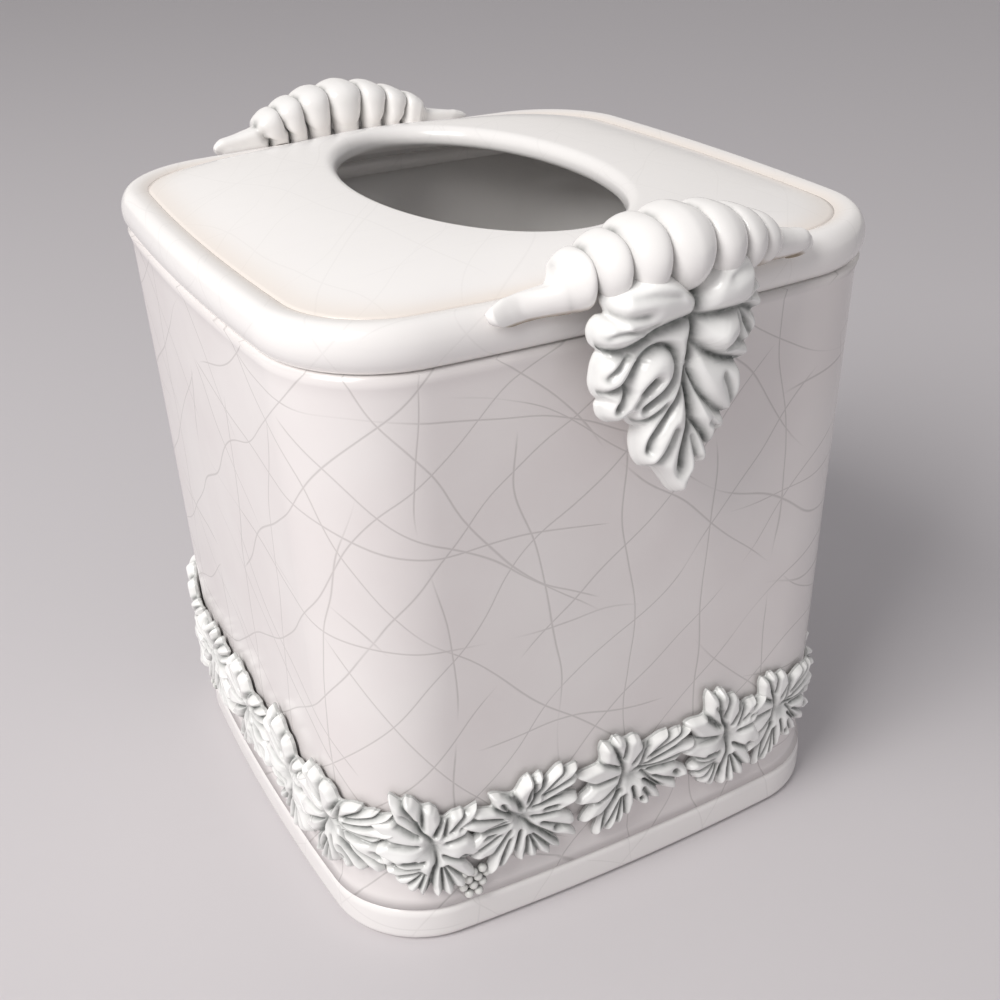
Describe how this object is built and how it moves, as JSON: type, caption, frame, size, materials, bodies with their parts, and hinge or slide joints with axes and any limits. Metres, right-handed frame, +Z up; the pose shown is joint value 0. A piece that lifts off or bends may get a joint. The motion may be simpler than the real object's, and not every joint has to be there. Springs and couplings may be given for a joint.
{
  "type": "tissue box cover",
  "caption": "Square glazed ceramic cover that drops over a boutique tissue box, with an oval mouth on top, lobed crests and hanging vine leaves on its rim and a leaf garland above its foot.",
  "frame": {"origin": "middle of the foot's underside, on the table", "axes": "+Z up; -Y is the front, where one crest and its hanging leaf face; +X to the right seen from the front"},
  "size_m": [0.146, 0.1776, 0.1708],
  "materials": {
    "crackle_glaze": "glossy off-white crackle glaze with fine grey craze lines",
    "washed_leaf_glaze": "glossy off-white glaze with a grey-green wash in the recesses",
    "washed_grape_glaze": "glossy off-white glaze with a heavier grey-green wash between the berries"
  },
  "bodies": {
    "root": {"wall_shell": "crackle_glaze", "foot_band": "crackle_glaze", "rim_bead": "crackle_glaze", "top_panel": "crackle_glaze", "front_crest": "crackle_glaze", "rear_crest": "crackle_glaze", "front_leaf": "washed_leaf_glaze", "rear_leaf": "washed_leaf_glaze", "garland_leaf_1": "washed_leaf_glaze", "garland_leaf_2": "washed_leaf_glaze", "garland_leaf_3": "washed_leaf_glaze", "garland_leaf_4": "washed_leaf_glaze", "garland_leaf_5": "washed_leaf_glaze", "garland_leaf_6": "washed_leaf_glaze", "garland_leaf_7": "washed_leaf_glaze", "garland_leaf_8": "washed_leaf_glaze", "garland_leaf_9": "washed_leaf_glaze", "garland_leaf_10": "washed_leaf_glaze", "garland_leaf_11": "washed_leaf_glaze", "garland_leaf_12": "washed_leaf_glaze", "garland_leaf_13": "washed_leaf_glaze", "garland_leaf_14": "washed_leaf_glaze", "garland_leaf_15": "washed_leaf_glaze", "garland_leaf_16": "washed_leaf_glaze", "garland_leaf_17": "washed_leaf_glaze", "garland_leaf_18": "washed_leaf_glaze", "garland_leaf_19": "washed_leaf_glaze", "garland_leaf_20": "washed_leaf_glaze", "grape_bunch_1": "washed_grape_glaze", "grape_bunch_2": "washed_grape_glaze", "grape_bunch_3": "washed_grape_glaze", "grape_bunch_4": "washed_grape_glaze"}
  },
  "joints": []
}
